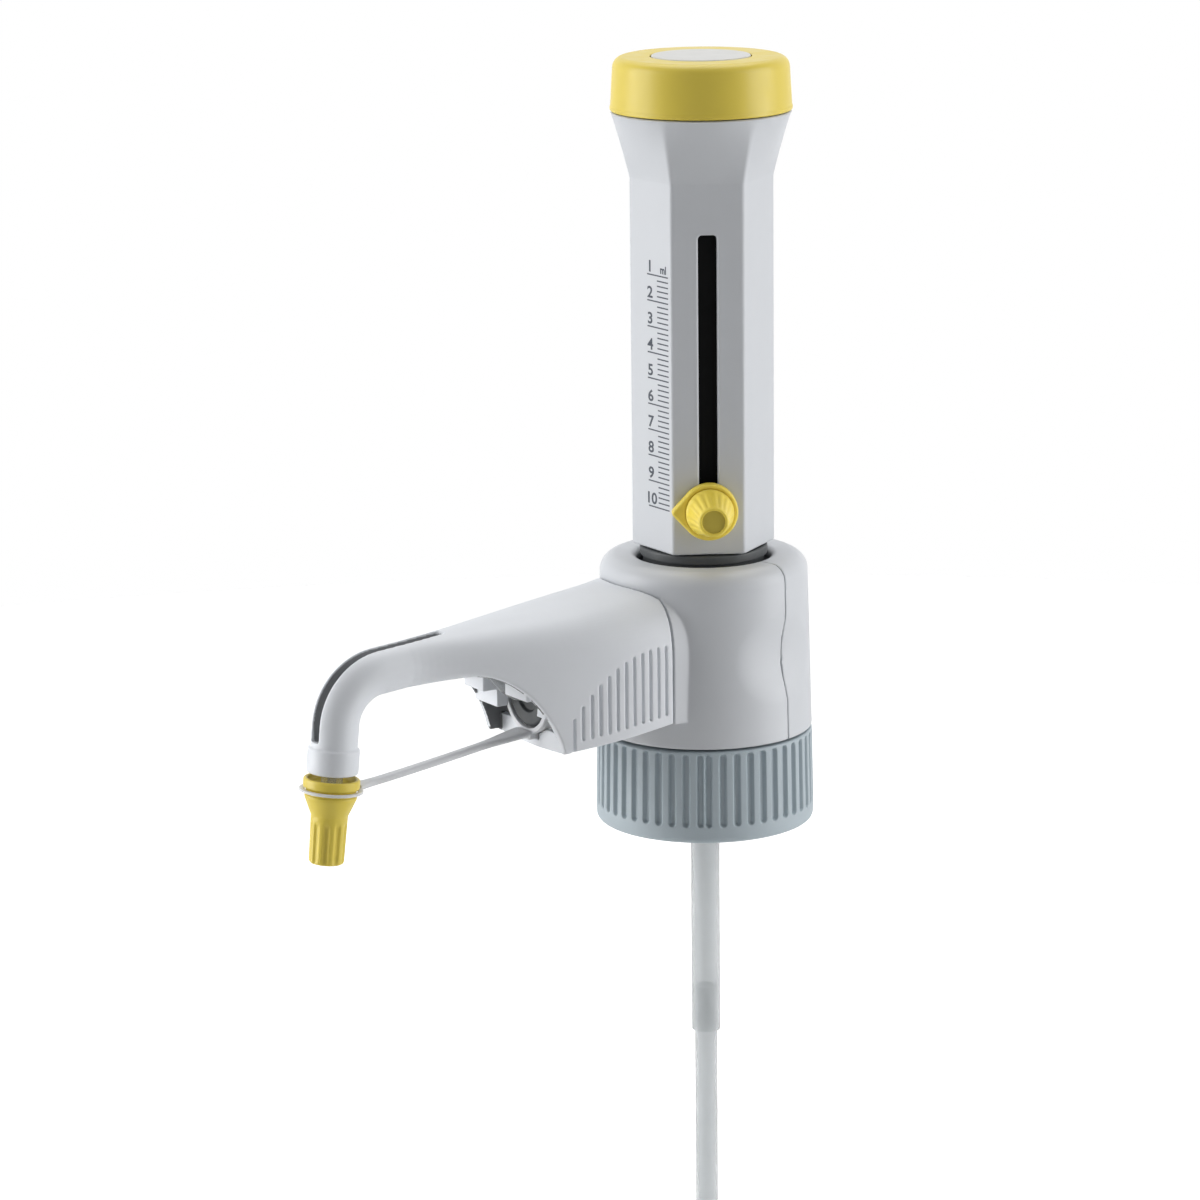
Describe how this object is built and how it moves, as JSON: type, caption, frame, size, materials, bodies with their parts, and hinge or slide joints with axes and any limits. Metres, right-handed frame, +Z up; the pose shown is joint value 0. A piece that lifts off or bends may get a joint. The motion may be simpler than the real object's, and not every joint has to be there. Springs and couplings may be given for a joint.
{
  "type": "bottle top dispenser",
  "caption": "Bottle top dispenser with a lifting piston casing, a sliding volume pointer, a bent discharge arm with a capped nozzle and a telescopic filling tube.",
  "frame": {"origin": "centre of the plane where the bottle's lip seats, under the valve block and inside the threaded ring", "axes": "+Z up along the piston, -X along the discharge arm toward the nozzle, +Y to the side away from the volume pointer"},
  "size_m": [0.147, 0.0558, 0.3417],
  "materials": {
    "ring_blue_grey": "satin moulded plastic",
    "core_white": "moulded fluoropolymer",
    "body_grey": "satin moulded plastic",
    "dark_grey": "satin moulded plastic",
    "clear_glass": "polished",
    "guide_black": "satin moulded plastic",
    "piston_white": "satin fluoropolymer",
    "steel": "turned",
    "brass": "turned",
    "signal_yellow": "smooth moulded plastic",
    "disc_grey": "satin moulded plastic",
    "ceramic": null,
    "clear_tube": "translucent tube",
    "strap_white": "translucent moulded strap",
    "valve_white": "moulded fluoropolymer"
  },
  "bodies": {
    "screw_ring": {"threaded_ring": "ring_blue_grey"},
    "valve_block": {"valve_core": "core_white", "front_cover": "body_grey", "rear_cover": "body_grey", "vent_plug": "dark_grey", "glass_cylinder": "clear_glass", "guide_sleeve": "guide_black", "safety_ring": "dark_grey", "discharge_housing": "body_grey", "discharge_valve_body": "dark_grey", "valve_spring": "steel", "discharge_tube": "clear_tube", "nozzle_tip": "clear_tube", "cap_strap": "strap_white", "filling_valve_body": "valve_white", "filling_valve_washer": "piston_white", "upper_filling_tube": "clear_tube"},
    "casing": {"casing_sleeve": "body_grey", "piston": "piston_white", "piston_seal": "piston_white", "piston_rod": "steel", "rod_coupling": "dark_grey", "calibration_nut": "brass", "casing_cap": "signal_yellow", "cap_disc": "disc_grey", "toothed_track": "dark_grey"},
    "pointer": {"volume_pointer": "signal_yellow"},
    "clamp_screw": {"thumb_screw": "signal_yellow"},
    "strap_end": {"strap_loop": "strap_white"},
    "outlet_cap": {"nozzle_cap": "signal_yellow"},
    "filling_check": {"filling_ball": "ceramic"},
    "discharge_check": {"discharge_ball": "ceramic"},
    "lower_tube": {"lower_filling_tube": "clear_tube"}
  },
  "joints": [
    {"name": "block_turn", "type": "hinge", "parent": "screw_ring", "child": "valve_block", "pos_m": [0, 0, 0], "axis": [0, 0, 1], "continuous": true},
    {"name": "casing_lift", "type": "slide", "parent": "valve_block", "child": "casing", "axis": [0, 0, 1], "range_m": [0, 0.0655]},
    {"name": "pointer_slide", "type": "slide", "parent": "casing", "child": "pointer", "axis": [0, 0, 1], "range_m": [0, 0.059]},
    {"name": "clamp_screw_turn", "type": "hinge", "parent": "pointer", "child": "clamp_screw", "pos_m": [-0.00788, -0.01364, 0.0645], "axis": [-0.5, -0.866, 0], "range_deg": [0, 180]},
    {"name": "cap_travel", "type": "slide", "parent": "valve_block", "child": "strap_end", "axis": [-0.1045, 0, -0.9945], "range_m": [0, 0.0024]},
    {"name": "cap_turn", "type": "hinge", "parent": "strap_end", "child": "outlet_cap", "pos_m": [-0.11056, 0, 0.00913], "axis": [-0.1045, 0, -0.9945], "range_deg": [0, 540]},
    {"name": "filling_ball_lift", "type": "slide", "parent": "valve_block", "child": "filling_check", "axis": [0, 0, 1], "range_m": [0, 0.0012]},
    {"name": "discharge_ball_lift", "type": "slide", "parent": "valve_block", "child": "discharge_check", "axis": [-1, 0, 0], "range_m": [0, 0.0012], "stiffness_N_per_m": 10, "springref_m": -0.001},
    {"name": "filling_tube_slide", "type": "slide", "parent": "valve_block", "child": "lower_tube", "axis": [0, 0, 1], "range_m": [0, 0.045]}
  ],
  "couplings": [
    {"joint": "cap_turn", "follows": "cap_travel", "rad_per_m": 3927}
  ]
}
